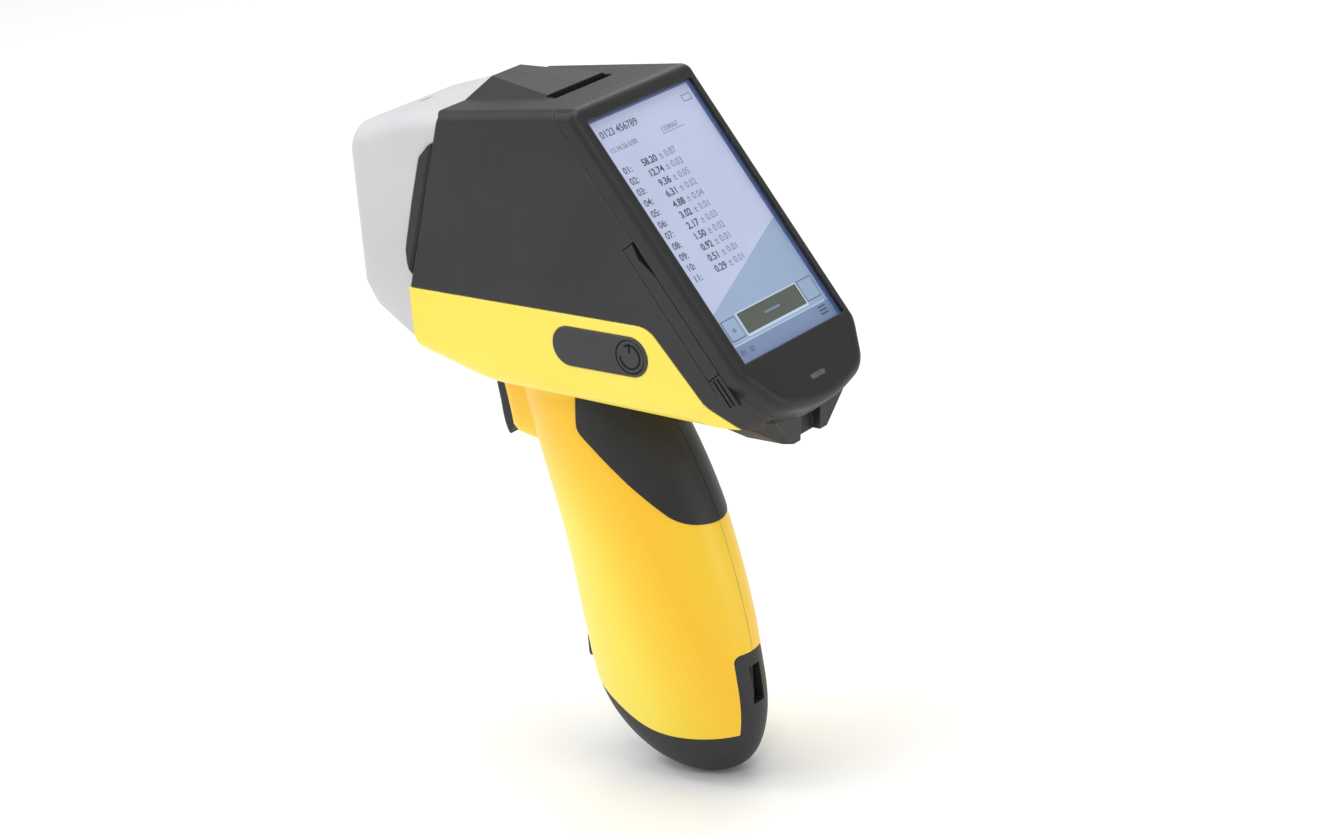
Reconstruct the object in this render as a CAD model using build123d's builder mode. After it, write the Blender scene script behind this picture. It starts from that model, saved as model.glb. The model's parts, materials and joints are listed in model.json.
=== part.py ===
from build123d import *
import os
from math import cos, radians, sin

# Handheld X-ray fluorescence analyser. Millimetres. The beam leaves along -X, +Z is up
# and -Y is the operator's left. The outlines are drawn from a datum that lies nose_reach
# behind the measuring face; each piece is moved at the end, so that face is the origin.

# --- driving dimensions ---
body_half_width = 33.0
wall = 2.5
handle_wall = 3.0
seam_gap = 0.3          # shadow line between moulded pieces
half_gap = seam_gap / 2
running = 0.05          # radial clearance of pins in bores
slip = 0.35             # clearance of pieces that slide past each other

nose_reach = 4.0        # the nose stands this far in front of the datum
top_height = 40.3       # top of the covers at top_start
top_start = 40.5
top_rise = 0.113        # the top climbs towards the display
top_radius = 4.0
belly_height = -56.0
belly_fall = 2.6        # the belly falls towards the foot
belly_radius = 8.0
seam_height = -24.0     # dark covers above, yellow shells below
nose_joint = 19.6       # front end of the yellow shells

display_tilt = 53.0     # the screen leans this much from level
display_x = 129.0
display_z = 4.0
screen_length = 93.6
screen_width = 56.16
rim_height = 1.6        # bezel rim above the lens
rim_radius = 3.7
bezel_depth = 6.3       # bezel below the lens face
lens_thick = 1.5
gasket_thick = 0.6
panel_thick = 3.9
board_level = -17.5     # back face of the main board below the lens face
board_thick = 1.6

handle_lean = 11.0
pack_depth = 40.0
pack_width = 27.0
pack_length = 96.0
pack_radius = 6.0
pack_way = 30.0         # the way of the pack is clear this far below its seat
pack_foot_x = 100.9
pack_foot_z = -181.0

trigger_x = 41.8
trigger_z = -61.0
trigger_half_width = 6.2
trigger_hub = 4.0
pin_radius = 1.5
boss_half_width = 10.0

keypad_x = 102.0
keypad_z = -35.5
keypad_length = 40.0
keypad_height = 14.0
keypad_proud = 0.4
keypad_thick = 1.6
button_radius = 5.7
button_travel = 0.7
button_x = 114.8

aperture_z = -8.0
aperture_radius = 5.0
plate_thick = 1.5
tube_angle = 30.0
tube_radius = 9.5
snout_radius = 4.5
detector_angle = -35.0
detector_radius = 5.5
wheel_radius = 14.0
wheel_offset = 10.0
wheel_thick = 1.5
wheel_station = 12.0
chassis_height = -38.0
chassis_thick = 2.0

tilt = radians(display_tilt)
down_screen = Vector(cos(tilt), 0, -sin(tilt))
out_screen = Vector(sin(tilt), 0, cos(tilt))
display = Plane(origin=(display_x, 0, display_z), x_dir=down_screen, z_dir=out_screen)
lean = radians(handle_lean)
bay = Plane(
    origin=(pack_foot_x, 0, pack_foot_z),
    x_dir=(cos(lean), 0, sin(lean)),
    z_dir=(-sin(lean), 0, cos(lean)),
)
os.makedirs("parts", exist_ok=True)


def top_line(x):
    return top_height + top_rise * (x - top_start)


# --- forms shared by the housings: outer skin at inset 0, inner skin at the wall ---
chin_start = screen_length / 2 + 3.5
chin_corner = screen_length / 2 + 19.7
chin_end = screen_length / 2 + 25.0
chin_half_width = body_half_width - 9.5


def display_outline(inset):
    side = body_half_width + 0.5
    with BuildSketch() as outline:
        with BuildLine():
            Polyline(
                (-130, -side),
                (chin_start, -side),
                (chin_corner, -chin_half_width),
                (chin_end, 0),
                (chin_corner, chin_half_width),
                (chin_start, side),
                (-130, side),
                close=True,
            )
        make_face()
        fillet(outline.vertices().sort_by(Axis.X)[-1], 60)
        for x, radius in ((chin_corner, 14), (chin_start, 16)):
            corners = outline.vertices().filter_by_position(Axis.X, x - 0.5, x + 0.5)
            fillet(corners, radius)
        if inset:
            offset(amount=-inset)
    return outline.sketch


def body_form(inset):
    half = body_half_width - inset
    with BuildPart() as form:
        with BuildSketch(Plane.XZ) as side:
            with BuildLine():
                Polyline(
                    (8, top_line(8) - inset),
                    (8, -45.3 + inset),
                    (28, -50.6 + inset),
                    (49, belly_height + inset),
                    (185, belly_height - belly_fall + inset),
                    (185, top_line(185) - inset),
                    close=True,
                )
            make_face()
            bends = side.vertices().filter_by_position(Axis.X, 20, 60)
            fillet(bends, 50)
        extrude(amount=half, both=True)
        long_edges = form.edges().filter_by(lambda e: abs(abs(e.center().Y) - half) < 0.1)
        upper = long_edges.filter_by(lambda e: e.center().Z > 30 and e.length > 30)
        lower = long_edges.filter_by(
            lambda e: e.center().Z < -40 and e.bounding_box().size.X > 2
        )
        fillet(upper, max(top_radius - inset, 1.5))
        fillet(lower, belly_radius - inset)
        with BuildSketch(display.offset(-150)):
            add(display_outline(inset))
        extrude(amount=165, mode=Mode.INTERSECT)
    return form.part


# x, top, bottom, half-width, half-width of the bottom, top corner radius
nose_half_width = body_half_width - 2.0
nose_stations = [
    (-nose_reach, 30.0, -35.0, nose_half_width, nose_half_width - 5.0, 9.0),
    (6.0, 32.8, -41.5, nose_half_width, nose_half_width - 4.0, 9.0),
    (20.0, 36.8, -48.5, nose_half_width + 0.6, nose_half_width - 1.0, 7.5),
    (50.0, 41.2, -56.1, nose_half_width + 1.6, nose_half_width + 0.2, 4.5),
]
nose_edge = 4.0         # rounding round the measuring face
face_x = -nose_reach


def nose_section(x):
    spans = list(zip(nose_stations, nose_stations[1:]))
    before, after = next(pair for pair in spans if x <= pair[1][0])
    share = (x - before[0]) / (after[0] - before[0])
    return [a + (b - a) * share for a, b in zip(before[1:], after[1:])]


def nose_form(inset):
    edge = nose_edge - inset
    turns = [radians(a) for a in (0, 27, 50, 70, 90)]
    rounding = [(edge * (1 - cos(a)), edge * (1 - sin(a))) for a in turns]
    stations = [(face_x + inset + x, inset + shrink) for x, shrink in rounding]
    stations += [(station[0], inset) for station in nose_stations[2:]]
    with BuildPart() as form:
        for x, shrink in stations:
            top, bottom, half, half_bottom, radius = nose_section(x)
            side = half - shrink
            foot = half_bottom - shrink
            with BuildSketch(Plane.YZ.offset(x)) as section:
                with BuildLine():
                    Polyline(
                        (-side, top - shrink),
                        (side, top - shrink),
                        (side, -25.5),
                        (foot, bottom + shrink),
                        (-foot, bottom + shrink),
                        (-side, -25.5),
                        close=True,
                    )
                make_face()
                fillet(section.vertices().group_by(Axis.Y)[-1], radius - shrink * 0.5)
                fillet(section.vertices().group_by(Axis.Y)[1], 2)
                fillet(section.vertices().group_by(Axis.Y)[0], 6 - shrink * 0.5)
        loft(ruled=True)
    return form.part


# level, front, rear, half-width of each level section of the handle
handle_levels = [
    (-48, 41.7, 91.0, 20.5),
    (-64, 44.2, 101.0, 21.0),
    (-80, 47.5, 110.1, 21.5),
    (-96, 51.4, 117.5, 21.7),
    (-112, 55.2, 122.9, 21.7),
    (-130, 58.4, 127.3, 21.7),
    (-148, 60.9, 130.4, 21.7),
    (-164, 63.6, 132.0, 21.5),
    (-175, 67.4, 132.2, 20.8),
    (-184.5, 74.2, 130.6, 18.8),
    (-192, 82.8, 127.5, 15.4),
    (-197, 91.8, 122.6, 10.8),
    (-200.3, 100.5, 115.6, 4.5),
]


def handle_form(inset):
    with BuildPart() as form:
        for level, front, rear, half in handle_levels:
            if half - inset < 5 and inset > 0:
                continue
            height = level + inset if level < -170 else level
            with BuildSketch(Plane.XY.offset(height)):
                with Locations(((front + rear) / 2, 0)):
                    Ellipse((rear - front) / 2 - inset, half - inset)
        loft()
    return form.part


def side_prism(points, low, high, blends=(), shrink=0.0):
    # prism across the body from an outline in the side view
    with BuildPart() as prism:
        with BuildSketch(Plane.XZ.offset(-high)) as outline:
            with BuildLine():
                Polyline(*points, close=True)
            make_face()
            for corner, radius in blends:
                near = outline.vertices().sort_by_distance(Vector(corner[0], corner[1], 0))
                fillet(near[0], radius)
            if shrink:
                offset(amount=-shrink, kind=Kind.INTERSECTION)
        extrude(amount=high - low)
    return prism.part


def slope_x(height, level):
    # x of the plane at a level above the lens face, at a given height
    plane = display_x * sin(tilt) + display_z * cos(tilt) + level
    return (plane - height * cos(tilt)) / sin(tilt)


reach = 60.0
seam_corner = (123.0, seam_height)
seam_foot = (159.0, -65.2)
cover_front = [(39.0, 40.2), (40.4, 38.6), (30.9, 8.6), (20.4, seam_height)]
rake_top = (50.0, 53.4)     # the raised spine leans back from the nose

cover_region = side_prism(
    [
        (rake_top[0], 70),
        rake_top,
        *cover_front,
        seam_corner,
        seam_foot,
        (slope_x(seam_foot[1], -bezel_depth), seam_foot[1]),
        (slope_x(70, -bezel_depth), 70),
    ],
    -reach,
    reach,
    blends=[(seam_corner, 10)],
    shrink=half_gap,
)
shell_region = side_prism(
    [(nose_joint, seam_height), seam_corner, seam_foot, (nose_joint, seam_foot[1])],
    -reach,
    reach,
    blends=[(seam_corner, 10)],
    shrink=half_gap,
)
nose_region = side_prism(
    [
        (face_x - 5, -70),
        (nose_joint, -70),
        (nose_joint, seam_height),
        *reversed(cover_front),
        rake_top,
        (face_x - 5, rake_top[1]),
    ],
    -reach,
    reach,
    shrink=half_gap,
)


# --- nose: cast housing with the measuring window ---
insert_outline = [
    (37.6, 29.6),
    (35.2, 28.4),
    (29.4, 22.6),
    (24.6, 7.8),
    (20.2, -7.1),
    (20.2, -15.0),
    (21.2, -20.0),
    (30.9, 8.6),
]
insert_seat = body_half_width - 4.2
plate_width = 38.0
plate_height = 40.0
plate_low = -22.0
plate_screws = [(y, z) for y in (-15.5, 15.5) for z in (-18.0, 14.0)]
head_depth = 1.1
face = Plane.YZ.offset(face_x)
led_place = (9.5, -3.0)

with BuildPart() as nose_cone:
    add(nose_form(0))
    add(nose_region, mode=Mode.INTERSECT)
    add(nose_form(wall), mode=Mode.SUBTRACT)
    for low, high in ((-reach, -insert_seat), (insert_seat, reach)):
        add(side_prism(insert_outline, low, high), mode=Mode.SUBTRACT)
    with BuildSketch(face) as seat:
        with Locations((0, plate_low + plate_height / 2)):
            RectangleRounded(plate_width, plate_height, 4)
    extrude(amount=plate_thick, mode=Mode.SUBTRACT)
    with BuildSketch(face) as opening:
        with Locations((0, plate_low + plate_height / 2)):
            RectangleRounded(plate_width - 16, plate_height - 12, 3)
    extrude(amount=wall + 1, mode=Mode.SUBTRACT)
    with BuildSketch(face):
        with Locations(*plate_screws):
            Circle(1.0)
    extrude(amount=wall + 1, mode=Mode.SUBTRACT)
    with BuildSketch(Plane.XY.offset(25)):
        with Locations(led_place):
            SlotOverall(7.0, 2.6, rotation=90)
    extrude(amount=20, mode=Mode.SUBTRACT)
nose_cone.part.label = "nose_cone"

with BuildPart() as window_plate:
    with BuildSketch(face):
        with Locations((0, plate_low + plate_height / 2)):
            RectangleRounded(plate_width - 0.2, plate_height - 0.2, 3.9)
        with Locations((0, aperture_z)):
            Circle(aperture_radius, mode=Mode.SUBTRACT)
    extrude(amount=plate_thick)
    for y, z in plate_screws:
        with Locations(Plane(origin=(face_x, y, z), z_dir=(-1, 0, 0))):
            CounterSinkHole(radius=1.1, counter_sink_radius=2.2, depth=plate_thick)
window_plate.part.label = "window_plate"

film_radius = aperture_radius + 1.5
film_thick = 0.3
with BuildPart() as window_film:
    with BuildSketch(face.offset(plate_thick)):
        with Locations((0, aperture_z)):
            Circle(film_radius)
    extrude(amount=film_thick)
window_film.part.label = "window_film"

with BuildPart() as window_seal:
    with BuildSketch(face.offset(plate_thick)):
        with Locations((0, aperture_z)):
            Circle(film_radius + 1.2)
            Circle(film_radius, mode=Mode.SUBTRACT)
    extrude(amount=film_thick * 2)
window_seal.part.label = "window_seal"

with BuildPart() as window_screws:
    for y, z in plate_screws:
        with BuildSketch(face):
            with Locations((y, z)):
                Circle(2.15)
        with BuildSketch(face.offset(head_depth)):
            with Locations((y, z)):
                Circle(1.05)
        loft()
        with BuildSketch(face.offset(head_depth)):
            with Locations((y, z)):
                Circle(1.0)
        extrude(amount=wall - 0.6)
        with BuildSketch(face):
            with Locations((y, z)):
                RegularPolygon(0.9, 6)
        extrude(amount=0.8, mode=Mode.SUBTRACT)
window_screws.part.label = "window_screws"

with BuildPart() as beam_led:
    add(nose_form(0))
    with BuildSketch(Plane.XY.offset(25)):
        with Locations(led_place):
            SlotOverall(6.8, 2.4, rotation=90)
    extrude(amount=20, mode=Mode.INTERSECT)
    add(nose_form(wall), mode=Mode.SUBTRACT)
beam_led.part.label = "beam_led"


def side_insert(low, high):
    with BuildPart() as insert:
        add(side_prism(insert_outline, low, high, shrink=half_gap))
        outer = insert.faces().filter_by(Axis.Y).sort_by(SortBy.DISTANCE)[-1]
        chamfer(outer.edges().sort_by(SortBy.LENGTH)[-4:-1], 1.0)
    return insert.part


insert_face = body_half_width + 0.4
left_side_insert = side_insert(-insert_face, -insert_seat - 0.1)
left_side_insert.label = "left_side_insert"
right_side_insert = side_insert(insert_seat + 0.1, insert_face)
right_side_insert.label = "right_side_insert"

# --- dark covers over the measuring head, with the raised spine and its vent slot ---
spine_front = 36.0
spine_end = 74.6
vent_width = 4.0
vent_half_length = 15.8


def spine_form(inset):
    with BuildPart() as form:
        for x, ridge, ridge_height in ((spine_front, 5.6, 47.4), (spine_end + 3, 15.6, 45.0)):
            foot = 16.2 - inset
            with BuildSketch(Plane.YZ.offset(x)):
                with BuildLine():
                    Polyline(
                        (-foot, top_line(x) - 4),
                        (foot, top_line(x) - 4),
                        (foot, top_line(x) - inset),
                        (ridge - inset * 0.5, ridge_height - inset),
                        (-ridge + inset * 0.5, ridge_height - inset),
                        (-foot, top_line(x) - inset),
                        close=True,
                    )
                make_face()
        loft(ruled=True)
    return form.part


with BuildPart() as covers:
    add(body_form(0))
    add(spine_form(0))
    add(cover_region, mode=Mode.INTERSECT)
    add(body_form(wall), mode=Mode.SUBTRACT)
    add(spine_form(wall), mode=Mode.SUBTRACT)
    with BuildSketch(Plane.XY.offset(36)):
        with Locations((spine_end + vent_width / 2, 0)):
            Rectangle(vent_width, 2 * vent_half_length)
    extrude(amount=30, mode=Mode.SUBTRACT)

left_half = Plane(origin=(0, -half_gap, 0), z_dir=(0, -1, 0))
right_half = Plane(origin=(0, half_gap, 0), z_dir=(0, 1, 0))

with BuildPart() as right_cover:
    add(covers.part)
    split(bisect_by=right_half, keep=Keep.TOP)
right_cover.part.label = "right_cover"

# port door along the left seam: measured down the screen and above the lens face
door_start = -6.0
door_end = 45.0
door_root = 57.5
door_low = -12.0
door_top = -bezel_depth - 0.2
door_thick = 1.4
door_pocket = 1.7
notch_start = 7.5
notch_depth = 2.2
skin = Plane(origin=display.origin + Vector(0, -body_half_width, 0),
             x_dir=down_screen, z_dir=(0, -1, 0))
socket_start = 14.0
socket_end = 23.0
socket_low = -11.4
socket_high = -8.0


with BuildPart() as left_cover:
    add(covers.part)
    split(bisect_by=left_half, keep=Keep.TOP)
    with BuildSketch(skin):
        with BuildLine():
            Polyline(
                (door_start - slip, door_low - slip),
                (door_root + slip, door_low - slip),
                (door_root + slip, 0),
                (door_start - slip, 0),
                close=True,
            )
        make_face()
    extrude(amount=-door_pocket, mode=Mode.SUBTRACT)
    with BuildSketch(skin):
        with BuildLine():
            Polyline(
                (socket_start - 0.5, socket_low - 0.3),
                (socket_end + 0.5, socket_low - 0.3),
                (socket_end + 0.5, socket_high + 0.3),
                (socket_start - 0.5, socket_high + 0.3),
                close=True,
            )
        make_face()
    extrude(amount=-5, mode=Mode.SUBTRACT)
left_cover.part.label = "left_cover"

with BuildPart() as port_cover:
    with BuildSketch(skin):
        with BuildLine():
            Polyline(
                (door_start, door_low),
                (door_end, door_low),
                (door_end, door_top),
                (notch_start, door_top),
                (notch_start - 8, door_top - notch_depth),
                (door_start, door_top - notch_depth * 0.4),
                close=True,
            )
        make_face()
    extrude(amount=-door_thick)
port_cover.part.label = "port_cover"

with BuildPart() as port_cover_strap:
    with BuildSketch(skin):
        with BuildLine():
            Polyline(
                (door_end + slip, door_low),
                (door_root, door_low),
                (door_root, door_top),
                (door_end + slip, door_top),
                close=True,
            )
        make_face()
    extrude(amount=-door_thick)
    with BuildSketch(skin):
        for above in (door_low + 1.9, door_low + 3.7):
            with Locations(((door_end + door_root) / 2, above)):
                SlotOverall(door_root - door_end - 2, 0.7)
    extrude(amount=-0.6, mode=Mode.SUBTRACT)
port_cover_strap.part.label = "port_cover_strap"

# --- display assembly, stacked behind the bezel ---
lens_length = screen_length + 4.4
lens_width = screen_width + 3.4
lens_play = 0.15
led_at = (screen_length / 2 + 14.6, -0.6)

with BuildPart() as display_bezel:
    add(body_form(0))
    with BuildSketch(display.offset(half_gap - bezel_depth)):
        Rectangle(300, 200)
    extrude(amount=bezel_depth + rim_height - half_gap, mode=Mode.INTERSECT)
    rim = display_bezel.faces().sort_by(Axis(display.origin, out_screen))[-1]
    fillet(rim.edges(), rim_radius)
    with BuildSketch(display):
        Rectangle(screen_length + 0.6, screen_width + 0.6)
    extrude(amount=rim_height, taper=-10, mode=Mode.SUBTRACT)
    with BuildSketch(display.offset(-bezel_depth)):
        Rectangle(lens_length + 2 * lens_play, lens_width + 2 * lens_play)
    extrude(amount=bezel_depth, mode=Mode.SUBTRACT)
    with BuildSketch(display.offset(-bezel_depth)) as chin_hollow:
        with Locations((screen_length / 2 + 11.7, 0)):
            RectangleRounded(11.5, 38, 4)
    extrude(amount=bezel_depth + rim_height - wall, mode=Mode.SUBTRACT)
    with BuildSketch(display):
        with Locations(led_at):
            SlotOverall(8.0, 1.8, rotation=90)
    extrude(amount=wall, both=True, mode=Mode.SUBTRACT)
display_bezel.part.label = "display_bezel"

with BuildPart() as status_led:
    with BuildSketch(display.offset(rim_height - 0.1)):
        with Locations(led_at):
            SlotOverall(7.9, 1.7, rotation=90)
    extrude(amount=-wall)
status_led.part.label = "status_led"

with BuildPart() as display_lens:
    with BuildSketch(display):
        Rectangle(lens_length, lens_width)
    extrude(amount=-lens_thick)
display_lens.part.label = "display_lens"

with BuildPart() as display_gasket:
    with BuildSketch(display.offset(-lens_thick)):
        Rectangle(lens_length, lens_width)
        Rectangle(lens_length - 3, lens_width - 3, mode=Mode.SUBTRACT)
    extrude(amount=-gasket_thick)
display_gasket.part.label = "display_gasket"

panel_face = -lens_thick - gasket_thick
with BuildPart() as display_panel:
    with BuildSketch(display.offset(panel_face)):
        Rectangle(lens_length - 0.4, lens_width - 0.4)
    extrude(amount=-panel_thick)
display_panel.part.label = "display_panel"

bracket_face = -bezel_depth - 0.1
with BuildPart() as display_bracket:
    with BuildSketch(display.offset(bracket_face)):
        Rectangle(screen_length + 3, lens_width + 0.2)
        Rectangle(screen_length - 24, screen_width - 22, mode=Mode.SUBTRACT)
    extrude(amount=-1.0)
display_bracket.part.label = "display_bracket"

board_posts_at = [(d, y) for d in (-36, 36) for y in (-23.5, 23.5)]
board_face = board_level + board_thick
with BuildPart() as main_board:
    with BuildSketch(display.offset(board_level)):
        Rectangle(84, 55)
    extrude(amount=board_thick)
    for d, y, length, width, height in (
        (-12, 6, 16, 16, 1.6),
        (14, 8, 12, 18, 1.2),
        (-30, -8, 10, 14, 2.0),
        (28, -6, 9, 9, 1.4),
    ):
        with BuildSketch(display.offset(board_face)):
            with Locations((d, y)):
                Rectangle(length, width)
        extrude(amount=height)
main_board.part.label = "main_board"

with BuildPart() as board_posts:
    with BuildSketch(display.offset(board_face)):
        with Locations(*board_posts_at):
            Circle(2.0)
    extrude(amount=bracket_face - 1.0 - board_face)
board_posts.part.label = "board_posts"

with BuildPart() as data_socket:
    with BuildSketch(display.offset(board_face)):
        with Locations(((socket_start + socket_end) / 2, 6.4 - body_half_width)):
            Rectangle(socket_end - socket_start, 7)
    extrude(amount=socket_high - board_face)
    mouth = Plane(origin=skin.origin + Vector(0, 2.9, 0), x_dir=skin.x_dir, z_dir=skin.z_dir)
    with BuildSketch(mouth):
        with Locations(((socket_start + socket_end) / 2, (socket_low + socket_high) / 2)):
            Rectangle(socket_end - socket_start - 1.4, 2.2)
    extrude(amount=-4, mode=Mode.SUBTRACT)
data_socket.part.label = "data_socket"

# --- foot under the chin, with a channel in its rear face ---
foot_level = -66.8
flare_level = -56.0
foot_top = -46.0
foot_rear = 161.9
foot_half = 11.3
channel_half = 5.7
channel_depth = 3.0

with BuildPart() as rear_foot:
    with BuildSketch(Plane.XY.offset(flare_level)):
        with BuildLine():
            Polyline((140, -27), (150, -26), (foot_rear + 1, -20), (foot_rear + 1, 20),
                     (150, 26), (140, 27), close=True)
        make_face()
    with BuildSketch(Plane.XY.offset(foot_level)):
        with BuildLine():
            Polyline((144, -foot_half), (foot_rear - 3, -foot_half), (foot_rear, -foot_half + 1.6),
                     (foot_rear, foot_half - 1.6), (foot_rear - 3, foot_half), (144, foot_half),
                     close=True)
        make_face()
    loft(ruled=True)
    upper = rear_foot.faces().sort_by(Axis.Z)[-1]
    extrude(upper, amount=foot_top - flare_level)
    add(body_form(0), mode=Mode.SUBTRACT)
    with BuildSketch(Plane.XY.offset(foot_level)):
        with Locations((foot_rear - channel_depth + 10, 0)):
            Rectangle(20, 2 * channel_half)
    extrude(amount=foot_top - foot_level, mode=Mode.SUBTRACT)
rear_foot.part.label = "rear_foot"

# --- lower housing: belly, trigger boss and handle in one moulding, split at Y = 0 ---
def boss_form(inset):
    half = boss_half_width - inset
    with BuildPart() as form:
        with BuildSketch(Plane.XZ) as side:
            with BuildLine():
                Spline((35.2 + inset, -62.0), (37.0 + inset, -71.0), (38.4 + inset, -80.6))
                Polyline((38.4 + inset, -80.6), (41.3 + inset, -83.4 + inset),
                         (51.0, -85.2 + inset), (65, -88 + inset), (65, -50),
                         (35.2 + inset, -50), (35.2 + inset, -62.0))
            make_face()
        extrude(amount=half, both=True)
        front = form.edges().filter_by(
            lambda e: abs(abs(e.center().Y) - half) < 0.1 and e.center().X < 50 + inset
        )
        fillet(front, 5.0 - inset)
    return form.part


cap_line = [(40, -168.6), (66, -169.9), (79.7, -173.2), (97, -180.2), (113, -182), (150, -180.5)]
tongue_half = 8.0
tongue_top = -152.0
tongue_front = 118.0


def cap_region(shrink):
    # what the battery cap takes from the foot of the handle, with its rear tongue
    with BuildPart() as region:
        with BuildSketch(Plane.XZ.offset(-reach)) as low:
            with BuildLine():
                edge = Spline(*[(x, z - shrink) for x, z in cap_line])
                Polyline(edge @ 1, (150, -215), (40, -215), edge @ 0)
            make_face()
        extrude(amount=2 * reach)
        with BuildSketch(Plane.YZ.offset(tongue_front)) as tongue:
            with Locations((0, (tongue_top - 195) / 2)):
                RectangleRounded(
                    2 * (tongue_half - shrink), tongue_top + 195 - 2 * shrink, 2.6
                )
        extrude(amount=30)
    return region.part


pad_outline = [(78.6, -56.3), (78.6, -71.6), (97.5, -89.0), (113.5, -103.0),
               (128.0, -107.0), (140.0, -104.5), (140.0, -56.3)]


def pad_region(shrink):
    return side_prism(
        pad_outline, -reach, reach,
        blends=[((78.6, -71.6), 6), ((113.5, -103.0), 22)], shrink=shrink,
    )


screw_boss = 3.2
screw_hole = 1.5
screw_seat = body_half_width - 2.0
screw_places = [
    (33.0, -43.5, screw_seat),
    (104.0, -50.0, screw_seat),
    (134.0, -46.5, screw_seat),
    (62.8, -113.0, 8.5),
    (115.4, -121.0, 12.0),
]
rail_inner = 9.0
rail_thick = 2.0
latch_z = -161.0
latch_height = 10.0
latch_half_width = 6.0
board_stand_at = [(90.0, -31.5), (90.0, -40.5), (121.3, -41.4)]
keypad_wall = body_half_width - keypad_thick + keypad_proud
keypad_board_y = keypad_wall - 4.4


def grip_skin(outer, inner, shrink):
    with BuildPart() as skin_piece:
        add(handle_form(outer))
        add(handle_form(inner), mode=Mode.SUBTRACT)
        add(pad_region(shrink), mode=Mode.INTERSECT)
    return skin_piece.part


def inner_cap():
    # hollow of the cap above the floor that carries the cell pack
    with BuildPart() as hollow:
        add(handle_form(handle_wall))
        with BuildSketch(bay):
            Rectangle(200, 200)
        extrude(amount=150, mode=Mode.INTERSECT)
    return hollow.part


def pack_prism(clearance, below=0.0):
    # the battery pack, or its way in from below the foot of the handle
    with BuildPart() as prism:
        with BuildSketch(bay.offset(-below)):
            RectangleRounded(
                pack_depth + 2 * clearance, pack_width + 2 * clearance, pack_radius + clearance
            )
        extrude(amount=below + pack_length + clearance)
    return prism.part


def rail_plates():
    # guides for the battery pack: thin ribs that stop short of its sides
    with BuildPart() as plates:
        for low in (rail_inner, -rail_inner - rail_thick):
            add(side_prism([(40, -165), (140, -165), (140, -78), (40, -78)],
                           low, low + rail_thick))
        add(handle_form(handle_wall - 0.3), mode=Mode.INTERSECT)
        add(pack_prism(slip, below=pack_way), mode=Mode.SUBTRACT)
    return plates.part


def screw_pillars():
    # pillars from wall to wall that take the housing screws
    with BuildPart() as inside:
        add(body_form(wall - 0.3))
        add(handle_form(handle_wall - 0.3))
    with BuildPart() as pillars:
        for x, z, _ in screw_places:
            with BuildSketch(Plane.XZ):
                with Locations((x, z)):
                    Circle(screw_boss)
            extrude(amount=reach, both=True)
        add(inside.part, mode=Mode.INTERSECT)
    return pillars.part


with BuildPart() as shells:
    add(body_form(0))
    add(shell_region, mode=Mode.INTERSECT)
    add(handle_form(0))
    add(boss_form(0))
    add(body_form(wall), mode=Mode.SUBTRACT)
    add(handle_form(handle_wall), mode=Mode.SUBTRACT)
    add(boss_form(wall), mode=Mode.SUBTRACT)
    add(rail_plates())
    add(screw_pillars())
    # trigger pocket and pin holes
    add(side_prism([(20, -88), (42.4, -88), (42.4, -81), (50.8, -81), (50.8, -56.4), (20, -56.4)],
                   -trigger_half_width - 0.6, trigger_half_width + 0.6), mode=Mode.SUBTRACT)
    with BuildSketch(Plane.XZ):
        with Locations((trigger_x, trigger_z)):
            Circle(pin_radius)
    extrude(amount=boss_half_width - 0.4, both=True, mode=Mode.SUBTRACT)
    add(grip_skin(-2, 1.6, 0), mode=Mode.SUBTRACT)
    add(cap_region(0), mode=Mode.SUBTRACT)
    add(pack_prism(slip, below=pack_way), mode=Mode.SUBTRACT)
    # window of the battery latch in the front wall
    with BuildSketch(Plane.YZ.offset(50)):
        with Locations((0, latch_z)):
            RectangleRounded(2 * (latch_half_width + slip), latch_height + 2 * slip, 2)
    extrude(amount=25, mode=Mode.SUBTRACT)

with BuildPart() as right_shell:
    add(shells.part)
    split(bisect_by=right_half, keep=Keep.TOP)
    for x, z, seat in screw_places:
        with BuildSketch(Plane.XZ.offset(-seat)):
            with Locations((x, z)):
                Circle(2.9)
        extrude(amount=-reach, mode=Mode.SUBTRACT)
        with BuildSketch(Plane.XZ.offset(-seat)):
            with Locations((x, z)):
                Circle(screw_hole + 0.1)
        extrude(amount=seat, mode=Mode.SUBTRACT)
right_shell.part.label = "right_shell"

screw_end = -7.0
with BuildPart() as left_shell:
    add(shells.part)
    split(bisect_by=left_half, keep=Keep.TOP)
    for x, z, _ in screw_places:
        with BuildSketch(Plane.XZ):
            with Locations((x, z)):
                Circle(screw_hole)
        extrude(amount=-screw_end, mode=Mode.SUBTRACT)
    with BuildSketch(Plane.XZ.offset(keypad_wall)):
        with Locations((keypad_x, keypad_z)):
            SlotOverall(keypad_length + 0.2, keypad_height + 0.2)
    extrude(amount=10, mode=Mode.SUBTRACT)
    with BuildSketch(Plane.XZ.offset(20)):
        with Locations((button_x, keypad_z)):
            Circle(button_radius + slip)
    extrude(amount=20, mode=Mode.SUBTRACT)
    with BuildSketch(Plane.XZ.offset(keypad_board_y)):
        with Locations(*board_stand_at):
            Circle(1.8)
    extrude(amount=body_half_width - wall - keypad_board_y + 0.2)
left_shell.part.label = "left_shell"

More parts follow.
